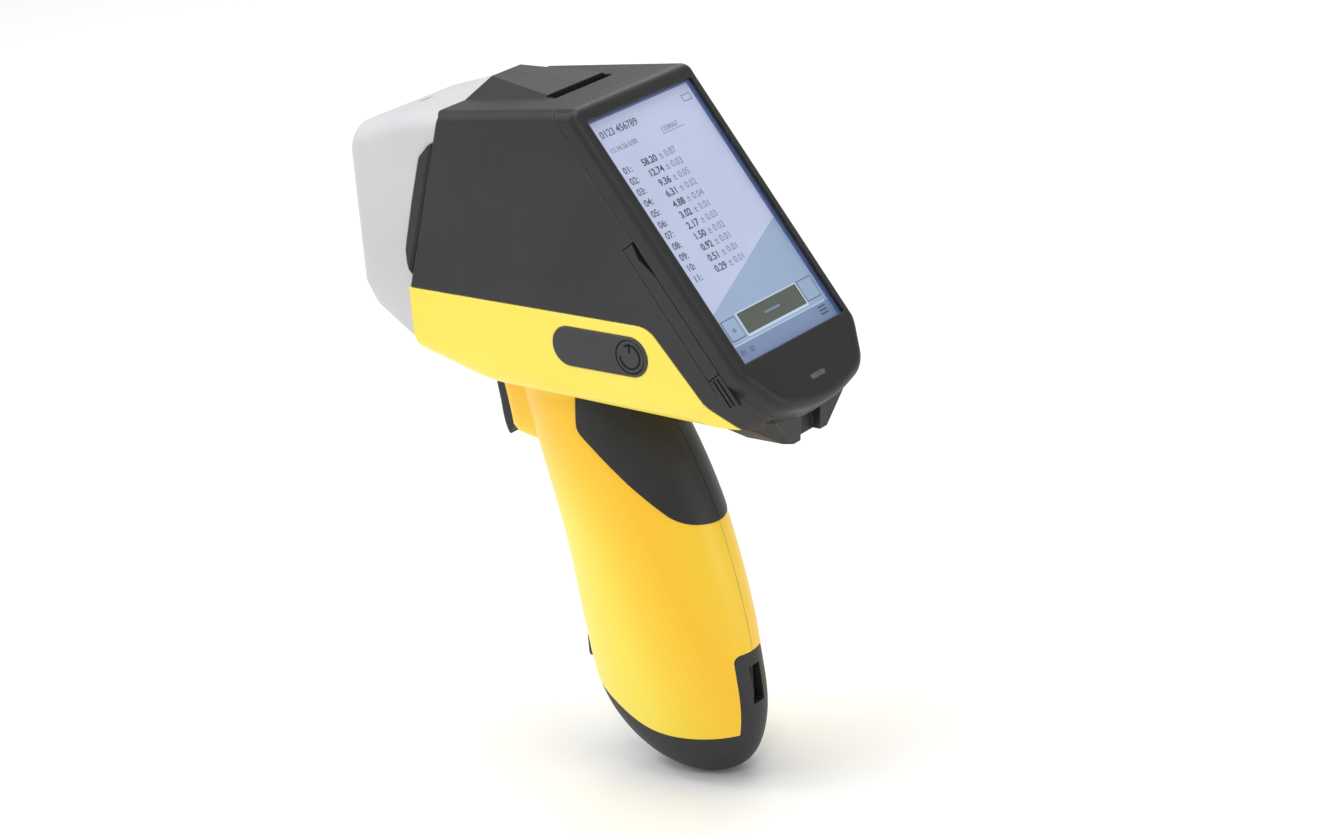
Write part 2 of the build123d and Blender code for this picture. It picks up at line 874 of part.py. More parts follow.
with BuildPart() as shell_screws:
    for x, z, seat in screw_places:
        with BuildSketch(Plane.XZ.offset(-seat)):
            with Locations((x, z)):
                Circle(2.6)
        extrude(amount=-1.8)
        with BuildSketch(Plane.XZ.offset(-seat)):
            with Locations((x, z)):
                Circle(screw_hole)
        extrude(amount=seat - screw_end)
        with BuildSketch(Plane.XZ.offset(-seat - 1.8)):
            with Locations((x, z)):
                RegularPolygon(1.3, 6)
        extrude(amount=1.2, mode=Mode.SUBTRACT)
shell_screws.part.label = "shell_screws"

pads = grip_skin(-0.3, 1.5, half_gap)
with BuildPart() as left_grip_pad:
    add(pads)
    split(bisect_by=left_half, keep=Keep.TOP)
left_grip_pad.part.label = "left_grip_pad"
with BuildPart() as right_grip_pad:
    add(pads)
    split(bisect_by=right_half, keep=Keep.TOP)
right_grip_pad.part.label = "right_grip_pad"

# --- keypad strip with the power button ---
with BuildPart() as side_keypad:
    with BuildSketch(Plane.XZ.offset(keypad_wall)):
        with Locations((keypad_x, keypad_z)):
            SlotOverall(keypad_length, keypad_height)
        with Locations((button_x, keypad_z)):
            Circle(button_radius + slip, mode=Mode.SUBTRACT)
    extrude(amount=keypad_thick)
    outer = side_keypad.faces().sort_by(Axis.Y)[0]
    chamfer(outer.outer_wire().edges(), 0.3)
side_keypad.part.label = "side_keypad"

button_back = keypad_board_y + 2.0
with BuildPart() as power_button:
    with BuildSketch(Plane.XZ.offset(button_back)):
        with Locations((button_x, keypad_z)):
            Circle(button_radius)
    extrude(amount=body_half_width + keypad_proud - button_back)
    chamfer(power_button.faces().sort_by(Axis.Y)[0].edges(), 0.3)
power_button.part.label = "power_button"

with BuildPart() as power_switch:
    with BuildSketch(Plane.XZ.offset(keypad_board_y)):
        with Locations((button_x, keypad_z)):
            Rectangle(6, 6)
    extrude(amount=0.6)
    with BuildSketch(Plane.XZ.offset(keypad_board_y + 0.6)):
        with Locations((button_x, keypad_z)):
            Circle(1.7)
    extrude(amount=2.0 - button_travel - 0.3 - 0.6)
power_switch.part.label = "power_switch"

with BuildPart() as keypad_board:
    with BuildSketch(Plane.XZ.offset(keypad_board_y)):
        with Locations((105.5, -36)):
            Rectangle(35, 14)
    extrude(amount=-1.2)
keypad_board.part.label = "keypad_board"

# --- trigger on its pin ---
with BuildPart() as trigger:
    with BuildSketch(Plane.XZ) as side:
        with BuildLine():
            pull = Spline((30.2, -58.4), (30.7, -66.0), (31.8, -74.0), (32.5, -80.0),
                          (34.0, -84.8))
            Polyline(pull @ 1, (36.2, -84.9), (38.0, -80.5))
            back = Spline((38.0, -80.5), (39.6, -74.0), (40.4, -66.0), (41.8, -62.0))
            Polyline(back @ 1, (41.8, -58.0), (34.8, -57.2), pull @ 0)
        make_face()
        with Locations((trigger_x, trigger_z)):
            Circle(trigger_hub)
    extrude(amount=trigger_half_width, both=True)
    front = trigger.edges().filter_by(
        lambda e: abs(abs(e.center().Y) - trigger_half_width) < 0.1 and e.center().X < 34.8
    )
    fillet(front, 2.0)
    with BuildSketch(Plane.XZ):
        with Locations((trigger_x, trigger_z)):
            Circle(pin_radius + running)
    extrude(amount=trigger_half_width + 1, both=True, mode=Mode.SUBTRACT)
trigger.part.label = "trigger"

with BuildPart() as trigger_pin:
    with BuildSketch(Plane.XZ):
        with Locations((trigger_x, trigger_z)):
            Circle(pin_radius)
    extrude(amount=boss_half_width - 0.4, both=True)
trigger_pin.part.label = "trigger_pin"

switch_front = 45.4
switch_low = -79.0
switch_length = 13.5
with BuildPart() as trigger_switch:
    with BuildSketch(Plane.XZ):
        with Locations((switch_front + 3.5, switch_low + switch_length / 2)):
            Rectangle(7, switch_length)
    extrude(amount=boss_half_width - wall - 0.3, both=True)
    with BuildSketch(Plane.YZ.offset(switch_front)):
        with Locations((0, -76.8)):
            Circle(1.0)
    extrude(amount=-3.7)
trigger_switch.part.label = "trigger_switch"


def coil(start, direction, turns, height, radius, wire):
    with BuildPart() as spring:
        with BuildLine() as path:
            Helix(pitch=height / turns, height=height, radius=radius,
                  center=start, direction=direction)
        with BuildSketch(Plane(origin=path.line @ 0, z_dir=path.line % 0)):
            RegularPolygon(wire / 2, 6)
        sweep()
    return spring.part


trigger_spring = coil((switch_front - 0.3, 0, -69.5), (-1, 0, 0), 4, 4.2, 2.0, 0.5)
trigger_spring.label = "trigger_spring"

# --- battery: cap, cell pack and strap bar that drop out of the handle together ---
cap_wall = 3.0
recess_half = 3.0
recess_low = -171.0
recess_high = -157.0
bar_radius = 0.9
bar_x = 129.2
recess_floor = bar_x - 6.0
recess_mouth = bar_x - 1.2

with BuildPart() as battery_cap:
    add(handle_form(0))
    add(cap_region(seam_gap), mode=Mode.INTERSECT)
    add(inner_cap(), mode=Mode.SUBTRACT)
    add(pack_prism(0), mode=Mode.SUBTRACT)
    with BuildSketch(Plane.XY.offset(recess_low - 1.8)):
        with Locations(((recess_floor - 1.5 + recess_mouth) / 2, 0)):
            Rectangle(recess_mouth - recess_floor + 1.5, 2 * recess_half + 3.4)
    extrude(amount=recess_high - recess_low + 3.6)
    with BuildSketch(Plane.XY.offset(recess_low)):
        with Locations(((recess_floor + 140) / 2, 0)):
            Rectangle(140 - recess_floor, 2 * recess_half)
    extrude(amount=recess_high - recess_low, mode=Mode.SUBTRACT)
    with BuildSketch(Plane.XY.offset(recess_low - 1.2)):
        with Locations((bar_x, 0)):
            Circle(bar_radius)
    extrude(amount=recess_high - recess_low + 2.4, mode=Mode.SUBTRACT)
battery_cap.part.label = "battery_cap"

with BuildPart() as strap_bar:
    with BuildSketch(Plane.XY.offset(recess_low - 1.2)):
        with Locations((bar_x, 0)):
            Circle(bar_radius)
    extrude(amount=recess_high - recess_low + 2.4)
strap_bar.part.label = "strap_bar"

with BuildPart() as battery_pack:
    add(pack_prism(0))
    chamfer(battery_pack.faces().sort_by(Axis.Z)[-1].edges(), 0.8)
battery_pack.part.label = "battery_pack"

with BuildPart() as battery_contacts:
    with BuildSketch(bay.offset(pack_length + 1.0)):
        Rectangle(24, 2 * (rail_inner - 0.3))
    extrude(amount=5)
    with BuildSketch(bay.offset(pack_length + 1.0)):
        with GridLocations(5, 7, 4, 2):
            Circle(0.8)
    extrude(amount=-0.7)
battery_contacts.part.label = "battery_contacts"

# --- battery latch: a push button in the front wall over its spring ---
latch_travel = 1.2
latch_face = 61.8
flange_x = 70.6
flange_thick = 1.2
guide_x = flange_x + flange_thick + latch_travel + 1.1
guide_top = -156.0

with BuildPart() as battery_latch:
    with BuildSketch(Plane.YZ.offset(latch_face)):
        with Locations((0, latch_z)):
            RectangleRounded(2 * latch_half_width, latch_height, 1.8)
    extrude(amount=flange_x - latch_face)
    chamfer(battery_latch.faces().sort_by(Axis.X)[0].edges(), 0.6)
    with BuildSketch(Plane.YZ.offset(flange_x)):
        with Locations((0, latch_z)):
            Rectangle(2 * latch_half_width + 1.8, latch_height + 2.2)
    extrude(amount=flange_thick)
battery_latch.part.label = "battery_latch"

with BuildPart() as latch_guide:
    with BuildSketch(Plane.YZ.offset(guide_x)):
        with Locations((0, guide_top - latch_height / 2)):
            Rectangle(2 * (rail_inner - seam_gap), latch_height)
    extrude(amount=1.0)
latch_guide.part.label = "latch_guide"

latch_spring = coil((flange_x + flange_thick + 0.2, 0, latch_z), (1, 0, 0), 2,
                    latch_travel + 0.7, 2.2, 0.4)
latch_spring.label = "latch_spring"

# --- measuring head ---
aperture = Vector(face_x, 0, aperture_z)


def head_axis(angle, side=0.0):
    turn = radians(angle)
    return Plane(origin=aperture + Vector(0, side, 0), x_dir=(0, 1, 0),
                 z_dir=(cos(turn), 0, sin(turn)))


tube_axis = head_axis(tube_angle)
with BuildPart() as xray_tube:
    with BuildSketch(tube_axis.offset(16)):
        Circle(snout_radius)
    extrude(amount=16)
    with BuildSketch(tube_axis.offset(32)):
        Circle(tube_radius)
    extrude(amount=34)
xray_tube.part.label = "xray_tube"

wheel_axis = head_axis(tube_angle, wheel_offset)
shaft_radius = 1.0
with BuildPart() as filter_wheel:
    with BuildSketch(wheel_axis.offset(wheel_station)):
        Circle(wheel_radius)
        with PolarLocations(wheel_offset, 6):
            Circle(3.0, mode=Mode.SUBTRACT)
        Circle(shaft_radius + running, mode=Mode.SUBTRACT)
    extrude(amount=wheel_thick)
filter_wheel.part.label = "filter_wheel"

with BuildPart() as filter_motor:
    with BuildSketch(wheel_axis.offset(wheel_station + wheel_thick + 1.6)):
        Circle(4.0)
    extrude(amount=32 - 0.3 - wheel_station - wheel_thick - 1.6)
    with BuildSketch(wheel_axis.offset(wheel_station + 0.2)):
        Circle(shaft_radius)
    extrude(amount=wheel_thick + 2)
filter_motor.part.label = "filter_motor"

detector_axis = head_axis(detector_angle)
with BuildPart() as detector:
    with BuildSketch(detector_axis.offset(20)):
        Circle(detector_radius)
    extrude(amount=20)
    with BuildSketch(detector_axis.offset(19)):
        Circle(detector_radius - 2)
    extrude(amount=1.2)
detector.part.label = "detector"

with BuildPart() as chassis:
    with BuildSketch(Plane.XY.offset(chassis_height)):
        with Locations((79, 0)):
            Rectangle(106, 2 * (body_half_width - wall - 0.3))
        with Locations((105, -29)):
            Rectangle(42, 9, mode=Mode.SUBTRACT)
    extrude(amount=-chassis_thick)
    for x, top in ((29, -27.0), (44, 18.0), (55, 20.0)):
        with BuildSketch(Plane.YZ.offset(x)):
            with Locations((0, (chassis_height + top) / 2)):
                Rectangle(16, top - chassis_height)
        extrude(amount=2)
    with BuildSketch(tube_axis.offset(10)):
        Circle(tube_radius)
    extrude(amount=70, mode=Mode.SUBTRACT)
    with BuildSketch(detector_axis.offset(10)):
        Circle(detector_radius)
    extrude(amount=40, mode=Mode.SUBTRACT)
chassis.part.label = "chassis"

supply_top = 17.0
with BuildPart() as hv_supply:
    with BuildSketch(Plane.XY.offset(chassis_height)):
        with Locations((78, 0)):
            Rectangle(26, 40)
    extrude(amount=supply_top - chassis_height)
hv_supply.part.label = "hv_supply"

with BuildPart() as heat_sink:
    with BuildSketch(Plane.XY.offset(supply_top)):
        with Locations((77, 0)):
            Rectangle(20, 34)
    extrude(amount=3)
    with BuildSketch(Plane.XY.offset(supply_top + 3)):
        with Locations((77, 0)):
            with GridLocations(1, 4.6, 1, 8):
                Rectangle(20, 1.4)
    extrude(amount=17)
heat_sink.part.label = "heat_sink"

pieces = [
    nose_cone.part, window_plate.part, window_film.part, window_seal.part,
    window_screws.part, beam_led.part, left_side_insert, right_side_insert,
    left_cover.part, right_cover.part, port_cover.part, port_cover_strap.part,
    display_bezel.part, status_led.part, display_lens.part, display_gasket.part,
    display_panel.part, display_bracket.part, main_board.part, board_posts.part,
    data_socket.part, rear_foot.part, left_shell.part, right_shell.part,
    shell_screws.part, left_grip_pad.part, right_grip_pad.part, side_keypad.part,
    power_button.part, power_switch.part, keypad_board.part, trigger.part,
    trigger_pin.part, trigger_switch.part, trigger_spring, battery_cap.part,
    battery_pack.part, battery_contacts.part, strap_bar.part, battery_latch.part,
    latch_guide.part, latch_spring, xray_tube.part, filter_wheel.part,
    filter_motor.part, detector.part, chassis.part, hv_supply.part, heat_sink.part,
]
for piece in pieces:
    name = piece.label
    export_step(piece.moved(Location((nose_reach, 0, 0))), f"parts/{name}.step")
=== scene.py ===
import json
import math

import bpy
from mathutils import Matrix, Vector


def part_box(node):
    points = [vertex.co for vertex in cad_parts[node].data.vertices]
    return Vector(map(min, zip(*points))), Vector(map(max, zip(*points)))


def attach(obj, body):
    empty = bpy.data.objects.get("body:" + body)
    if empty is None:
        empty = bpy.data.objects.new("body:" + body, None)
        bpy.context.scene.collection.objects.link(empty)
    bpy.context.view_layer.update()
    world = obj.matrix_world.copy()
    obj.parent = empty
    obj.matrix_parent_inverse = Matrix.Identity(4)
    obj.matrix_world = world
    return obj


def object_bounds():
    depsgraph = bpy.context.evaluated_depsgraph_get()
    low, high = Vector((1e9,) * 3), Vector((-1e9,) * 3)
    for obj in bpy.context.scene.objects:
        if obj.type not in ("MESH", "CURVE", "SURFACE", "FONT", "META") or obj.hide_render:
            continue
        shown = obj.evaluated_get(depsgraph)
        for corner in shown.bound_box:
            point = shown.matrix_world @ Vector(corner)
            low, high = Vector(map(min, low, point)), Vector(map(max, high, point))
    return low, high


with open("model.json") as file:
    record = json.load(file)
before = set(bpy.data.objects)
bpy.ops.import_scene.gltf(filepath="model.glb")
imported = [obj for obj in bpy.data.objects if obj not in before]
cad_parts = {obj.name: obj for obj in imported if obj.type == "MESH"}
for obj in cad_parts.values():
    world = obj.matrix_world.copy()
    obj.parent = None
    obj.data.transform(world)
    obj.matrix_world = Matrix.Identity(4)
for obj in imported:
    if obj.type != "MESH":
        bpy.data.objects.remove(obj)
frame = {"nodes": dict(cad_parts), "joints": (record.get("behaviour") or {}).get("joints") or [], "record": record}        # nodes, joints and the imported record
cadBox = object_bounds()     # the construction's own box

mm = 0.001
noiseLow, noiseHigh = 0.3, 0.7     # nearly all of a noise lies between these
capHeight = 0.72                   # height of a digit as a share of the type size
nodes = frame["nodes"]
print("frame loaded with", len(nodes), "nodes")


# building blocks of the finishes, all on object coordinates in metres
def startFinish(name):
    finish = bpy.data.materials.new(name)
    finish.use_nodes = True
    tree = finish.node_tree
    place = tree.nodes.new("ShaderNodeTexCoord").outputs["Object"]
    return finish, tree, tree.nodes["Principled BSDF"], place


def addNoise(tree, place, grain, detail=2.0, stretch=(1, 1, 1)):
    if stretch != (1, 1, 1):
        mapping = tree.nodes.new("ShaderNodeMapping")
        mapping.inputs["Scale"].default_value = stretch
        tree.links.new(place, mapping.inputs["Vector"])
        place = mapping.outputs["Vector"]
    noise = tree.nodes.new("ShaderNodeTexNoise")
    noise.inputs["Scale"].default_value = 1 / grain
    noise.inputs["Detail"].default_value = detail
    tree.links.new(place, noise.inputs["Vector"])
    return noise.outputs["Fac"]


def addRamp(tree, amount, stops):
    ramp = tree.nodes.new("ShaderNodeValToRGB")
    marks = ramp.color_ramp.elements
    marks[0].position, marks[1].position = stops[0][0], stops[-1][0]
    marks[0].color, marks[1].color = (*stops[0][1], 1), (*stops[-1][1], 1)
    for at, colour in stops[1:-1]:
        marks.new(at).color = (*colour, 1)
    tree.links.new(amount, ramp.inputs["Fac"])
    return ramp.outputs["Color"]


def addSpan(tree, amount, fromLow, fromHigh, low, high):
    span = tree.nodes.new("ShaderNodeMapRange")
    for socket, value in zip(("From Min", "From Max", "To Min", "To Max"),
                             (fromLow, fromHigh, low, high)):
        span.inputs[socket].default_value = value
    tree.links.new(amount, span.inputs["Value"])
    return span.outputs["Result"]


def addMix(tree, amount, first, second):
    mix = tree.nodes.new("ShaderNodeMix")
    mix.data_type = "RGBA"
    tree.links.new(amount, mix.inputs["Factor"])
    for socket, colour in (("A", first), ("B", second)):
        target = next(s for s in mix.inputs if s.name == socket and s.type == "RGBA")
        if isinstance(colour, tuple):
            target.default_value = (*colour, 1)
        else:
            tree.links.new(colour, target)
    return next(s for s in mix.outputs if s.type == "RGBA")


edgeTurn = {"full": 0.80, "none": 0.995}     # cosine between the softened and the true normal


def roundEdges(tree, radius):
    # softened normal, and how near a surface is to an edge
    rounded = tree.nodes.new("ShaderNodeBevel")
    rounded.samples = 4
    rounded.inputs["Radius"].default_value = radius
    surface = tree.nodes.new("ShaderNodeNewGeometry")
    align = tree.nodes.new("ShaderNodeVectorMath")
    align.operation = "DOT_PRODUCT"
    tree.links.new(rounded.outputs["Normal"], align.inputs[0])
    tree.links.new(surface.outputs["Normal"], align.inputs[1])
    edge = addSpan(tree, align.outputs["Value"], edgeTurn["full"], edgeTurn["none"], 1.0, 0.0)
    return rounded.outputs["Normal"], edge


def addBump(tree, shader, height, strength, depth, normal=None):
    bump = tree.nodes.new("ShaderNodeBump")
    bump.inputs["Strength"].default_value = strength
    bump.inputs["Distance"].default_value = depth
    tree.links.new(height, bump.inputs["Height"])
    if normal:
        tree.links.new(normal, bump.inputs["Normal"])
    tree.links.new(bump.outputs["Normal"], shader.inputs["Normal"])


def mouldedPlastic(name, look):
    # spark-eroded mould grain, cloudy tone, edges painted paler in patches as a highlight
    finish, tree, shader, place = startFinish(name)
    cloud = addNoise(tree, place, look["cloud"], detail=3.0)
    colour = addRamp(tree, cloud, [(0.35, look["deep"]), (0.65, look["base"])])
    # painted highlight: near edges the colour is lifted towards the edge colour, in noise patches
    normal, edge = roundEdges(tree, look["edgeRadius"])
    highlightPatches = addNoise(tree, place, look["highlightPatches"])
    edgeHighlight = tree.nodes.new("ShaderNodeMath")
    edgeHighlight.operation = "MULTIPLY"
    tree.links.new(edge, edgeHighlight.inputs[0])
    tree.links.new(highlightPatches, edgeHighlight.inputs[1])
    colour = addMix(tree, edgeHighlight.outputs["Value"], colour, look["edge"])
    tree.links.new(colour, shader.inputs["Base Color"])
    grain = addNoise(tree, place, look["grain"], detail=2.0)
    rough = addSpan(tree, grain, noiseLow, noiseHigh, look["rough"] - 0.05, look["rough"] + 0.07)
    tree.links.new(rough, shader.inputs["Roughness"])
    shader.inputs["Specular IOR Level"].default_value = look["specular"]
    addBump(tree, shader, grain, look["bump"], look["grainDepth"], normal)
    return finish


# the edge colour in these looks is a painted highlight, laid on edges in noise patches
coverLook = {
    "base": (0.0205, 0.0205, 0.0215), "deep": (0.0155, 0.0155, 0.0165), "edge": (0.18, 0.18, 0.19),
    "cloud": 30 * mm, "grain": 0.45 * mm, "grainDepth": 0.05 * mm, "bump": 0.35,
    "rough": 0.52, "specular": 0.42, "edgeRadius": 0.5 * mm, "highlightPatches": 4 * mm,
}
bezelLook = coverLook | {
    "base": (0.0145, 0.0145, 0.0155), "deep": (0.011, 0.011, 0.012), "edge": (0.14, 0.14, 0.15),
    "rough": 0.46,
}
keypadLook = coverLook | {
    "base": (0.038, 0.038, 0.039), "deep": (0.032, 0.032, 0.033), "grain": 0.3 * mm,
    "edgeRadius": 0.3 * mm,
}
switchLook = coverLook | {
    "base": (0.014, 0.014, 0.015), "deep": (0.010, 0.010, 0.011), "edge": (0.07, 0.07, 0.07),
    "rough": 0.42, "edgeRadius": 0.4 * mm,
}
blockLook = coverLook | {"base": (0.05, 0.05, 0.055), "deep": (0.035, 0.035, 0.04), "rough": 0.6}
cellLook = coverLook | {
    "base": (0.025, 0.034, 0.07), "deep": (0.018, 0.024, 0.05), "edge": (0.08, 0.10, 0.16),
    "grain": 1.2 * mm, "rough": 0.35, "specular": 0.5,
}

# the grip's yellow to orange stops are painted light and shade, and the edge colour is a painted highlight
shellLook = {
    "light": (0.93, 0.74, 0.075), "bright": (0.95, 0.79, 0.12), "shadedOrange": (0.94, 0.53, 0.016),
    "amber": (0.93, 0.62, 0.032), "edge": (0.98, 0.88, 0.35),
    "lean": 0.42,                      # slope of the painted shade band across the grip
    "front": 8 * mm, "rear": 77 * mm,
    "bodyLevel": -57 * mm, "gripLevel": -62 * mm,
    "throatLevel": -66 * mm, "palmLevel": -112 * mm,
    "throatShade": 0.85,                    # how strongly the throat under the trigger is painted with shade
    "edgeRadius": 0.5 * mm, "edgeShare": 0.5, "cloud": 45 * mm,
    "grain": 0.5 * mm, "grainDepth": 0.04 * mm, "bump": 0.18, "rough": 0.36, "specular": 0.42,
}


def satinYellow(name, look):
    # painted light and shade: the grip is painted bright at its front and darker orange towards its middle
    # and under the body, with edges painted paler as a highlight; the body stays lemon
    finish, tree, shader, place = startFinish(name)
    split = tree.nodes.new("ShaderNodeSeparateXYZ")
    tree.links.new(place, split.inputs["Vector"])
    across = tree.nodes.new("ShaderNodeMath")
    across.operation = "MULTIPLY_ADD"
    across.inputs[1].default_value = look["lean"]
    tree.links.new(split.outputs["Z"], across.inputs[0])
    tree.links.new(split.outputs["X"], across.inputs[2])
    share = addSpan(tree, across.outputs["Value"], look["front"], look["rear"], 0.0, 1.0)
    grip = addRamp(tree, share, [(0.0, look["bright"]), (0.35, look["light"]),
                                 (0.58, look["amber"]), (0.80, look["shadedOrange"]),
                                 (1.0, look["amber"])])
    # painted shade under the body: the throat is painted darker orange, fading down the grip
    throatShade = addSpan(tree, split.outputs["Z"], look["throatLevel"], look["palmLevel"],
                     look["throatShade"], 0.0)
    grip = addMix(tree, throatShade, grip, look["shadedOrange"])
    cloud = addNoise(tree, place, look["cloud"])
    body = addRamp(tree, cloud, [(noiseLow, look["light"]), (noiseHigh, look["bright"])])
    level = addSpan(tree, split.outputs["Z"], look["bodyLevel"], look["gripLevel"], 0.0, 1.0)
    colour = addMix(tree, level, body, grip)
    normal, edge = roundEdges(tree, look["edgeRadius"])
    # painted highlight: edges lifted towards the edge colour
    half = addSpan(tree, edge, 0.0, 1.0, 0.0, look["edgeShare"])
    colour = addMix(tree, half, colour, look["edge"])
    tree.links.new(colour, shader.inputs["Base Color"])
    grain = addNoise(tree, place, look["grain"])
    rough = addSpan(tree, grain, noiseLow, noiseHigh, look["rough"] - 0.04, look["rough"] + 0.06)
    tree.links.new(rough, shader.inputs["Roughness"])
    shader.inputs["Specular IOR Level"].default_value = look["specular"]
    addBump(tree, shader, grain, look["bump"], look["grainDepth"], normal)
    return finish


def softRubber(name, look):
    # dusty soft-touch skin with a leather-fine stipple
    finish, tree, shader, place = startFinish(name)
    cloud = addNoise(tree, place, look["cloud"], detail=4.0)
    colour = addRamp(tree, cloud, [(noiseLow, look["deep"]), (noiseHigh, look["base"])])
    tree.links.new(colour, shader.inputs["Base Color"])
    cells = tree.nodes.new("ShaderNodeTexVoronoi")
    cells.inputs["Scale"].default_value = 1 / look["stipple"]
    tree.links.new(place, cells.inputs["Vector"])
    rough = addSpan(tree, cloud, noiseLow, noiseHigh, look["rough"] - 0.05, look["rough"] + 0.05)
    tree.links.new(rough, shader.inputs["Roughness"])
    shader.inputs["Specular IOR Level"].default_value = look["specular"]
    shader.inputs["Sheen Weight"].default_value = look["sheen"]
    normal, _ = roundEdges(tree, look["edgeRadius"])
    addBump(tree, shader, cells.outputs["Distance"], look["bump"], look["stippleDepth"], normal)
    return finish


gripLook = {
    "base": (0.0145, 0.0145, 0.015), "deep": (0.0105, 0.0105, 0.011),
    "stipple": 0.5 * mm, "stippleDepth": 0.05 * mm, "bump": 0.25, "rough": 0.50, "specular": 0.42,
    "cloud": 18 * mm, "sheen": 0.08, "edgeRadius": 0.4 * mm,
}
sealLook = gripLook | {"base": (0.012, 0.012, 0.012), "rough": 0.7, "specular": 0.3}


def powderCoat(name, look):
    # pale coat over a casting, with a faint orange peel and edges painted paler as a highlight
    finish, tree, shader, place = startFinish(name)
    cloud = addNoise(tree, place, look["cloud"], detail=3.0)
    colour = addRamp(tree, cloud, [(noiseLow, look["deep"]), (noiseHigh, look["base"])])
    normal, edge = roundEdges(tree, look["edgeRadius"])
    # painted highlight: edges lifted towards the edge colour
    colour = addMix(tree, edge, colour, look["edge"])
    tree.links.new(colour, shader.inputs["Base Color"])
    peel = addNoise(tree, place, look["peel"], detail=3.0)
    rough = addSpan(tree, peel, noiseLow, noiseHigh, look["rough"] - 0.05, look["rough"] + 0.06)
    tree.links.new(rough, shader.inputs["Roughness"])
    shader.inputs["Specular IOR Level"].default_value = look["specular"]
    addBump(tree, shader, peel, look["bump"], look["peelDepth"], normal)
    return finish


noseLook = {
    "base": (0.58, 0.58, 0.595), "deep": (0.54, 0.54, 0.56), "edge": (0.80, 0.80, 0.81),
    "peel": 0.9 * mm, "peelDepth": 0.05 * mm, "bump": 0.22, "rough": 0.40, "specular": 0.45,
    "cloud": 25 * mm, "edgeRadius": 0.8 * mm,
}


def workedMetal(name, look):
    # blasted, brushed or plated metal, by how far its noise is stretched
    finish, tree, shader, place = startFinish(name)
    shader.inputs["Metallic"].default_value = 1.0
    marks = addNoise(tree, place, look["grain"], detail=4.0, stretch=look["stretch"])
    colour = addRamp(tree, marks, [(0.25, look["deep"]), (0.75, look["base"])])
    tree.links.new(colour, shader.inputs["Base Color"])
    rough = addSpan(tree, marks, noiseLow, noiseHigh, look["rough"] - 0.07, look["rough"] + 0.08)
    tree.links.new(rough, shader.inputs["Roughness"])
    addBump(tree, shader, marks, look["bump"], look["markDepth"])
    return finish


plateLook = {
    "base": (0.60, 0.61, 0.63), "deep": (0.50, 0.51, 0.53),
    "grain": 0.35 * mm, "stretch": (1, 1, 1), "rough": 0.42, "bump": 0.3, "markDepth": 0.02 * mm,
}
bracketLook = plateLook | {"base": (0.66, 0.67, 0.69), "stretch": (1, 8, 8), "rough": 0.34}
steelLook = plateLook | {"base": (0.56, 0.56, 0.57), "stretch": (8, 1, 8), "rough": 0.28}
springLook = steelLook | {"base": (0.45, 0.45, 0.47), "deep": (0.34, 0.34, 0.36)}
tubeLook = plateLook | {"base": (0.55, 0.55, 0.52), "stretch": (12, 2, 12), "rough": 0.25}
brassLook = plateLook | {"base": (0.78, 0.60, 0.28), "deep": (0.66, 0.48, 0.20), "rough": 0.28}


glassLook = {
    "tint": (0.96, 0.98, 1.0), "bend": 1.35, "smear": 14 * mm, "stretch": (1, 2.5, 1),
    "smearFrom": 0.35, "smearTo": 0.75, "clean": 0.02, "smeared": 0.10,
}


def coverGlass(name, look):
    # clear lens with faint handling smears in its gloss
    finish, tree, shader, place = startFinish(name)
    smears = addNoise(tree, place, look["smear"], detail=5.0, stretch=look["stretch"])
    rough = addSpan(tree, smears, look["smearFrom"], look["smearTo"], look["clean"], look["smeared"])
    tree.links.new(rough, shader.inputs["Roughness"])
    shader.inputs["Base Color"].default_value = (*look["tint"], 1)
    shader.inputs["Transmission Weight"].default_value = 1.0
    shader.inputs["IOR"].default_value = look["bend"]
    return finish


def tintedLens(name, look):
    # small glossy lens or film with a fine haze in its colour
    finish, tree, shader, place = startFinish(name)
    haze = addNoise(tree, place, lensHaze["grain"], detail=3.0)
    colour = addRamp(tree, haze, [(noiseLow, look["deep"]), (noiseHigh, look["base"])])
    tree.links.new(colour, shader.inputs["Base Color"])
    rough = addSpan(tree, haze, noiseLow, noiseHigh, lensHaze["clear"], lensHaze["dull"])
    tree.links.new(rough, shader.inputs["Roughness"])
    addBump(tree, shader, haze, lensHaze["bump"], lensHaze["depth"])
    return finish


lensHaze = {"grain": 1.5 * mm, "clear": 0.10, "dull": 0.22, "bump": 0.05, "depth": 0.02 * mm}
redLook = {"base": (0.05, 0.012, 0.012), "deep": (0.03, 0.008, 0.008)}
statusLook = {"base": (0.12, 0.12, 0.13), "deep": (0.07, 0.07, 0.075)}
filmLook = {"base": (0.62, 0.34, 0.07), "deep": (0.50, 0.25, 0.04)}


maskLook = {
    "bare": (0.012, 0.10, 0.035), "covered": (0.016, 0.13, 0.045), "track": (0.03, 0.20, 0.08),
    "tracksPerMetre": 120, "haze": 2 * mm, "gloss": 0.28, "matt": 0.40,
    "bump": 0.2, "trackDepth": 0.02 * mm,
}


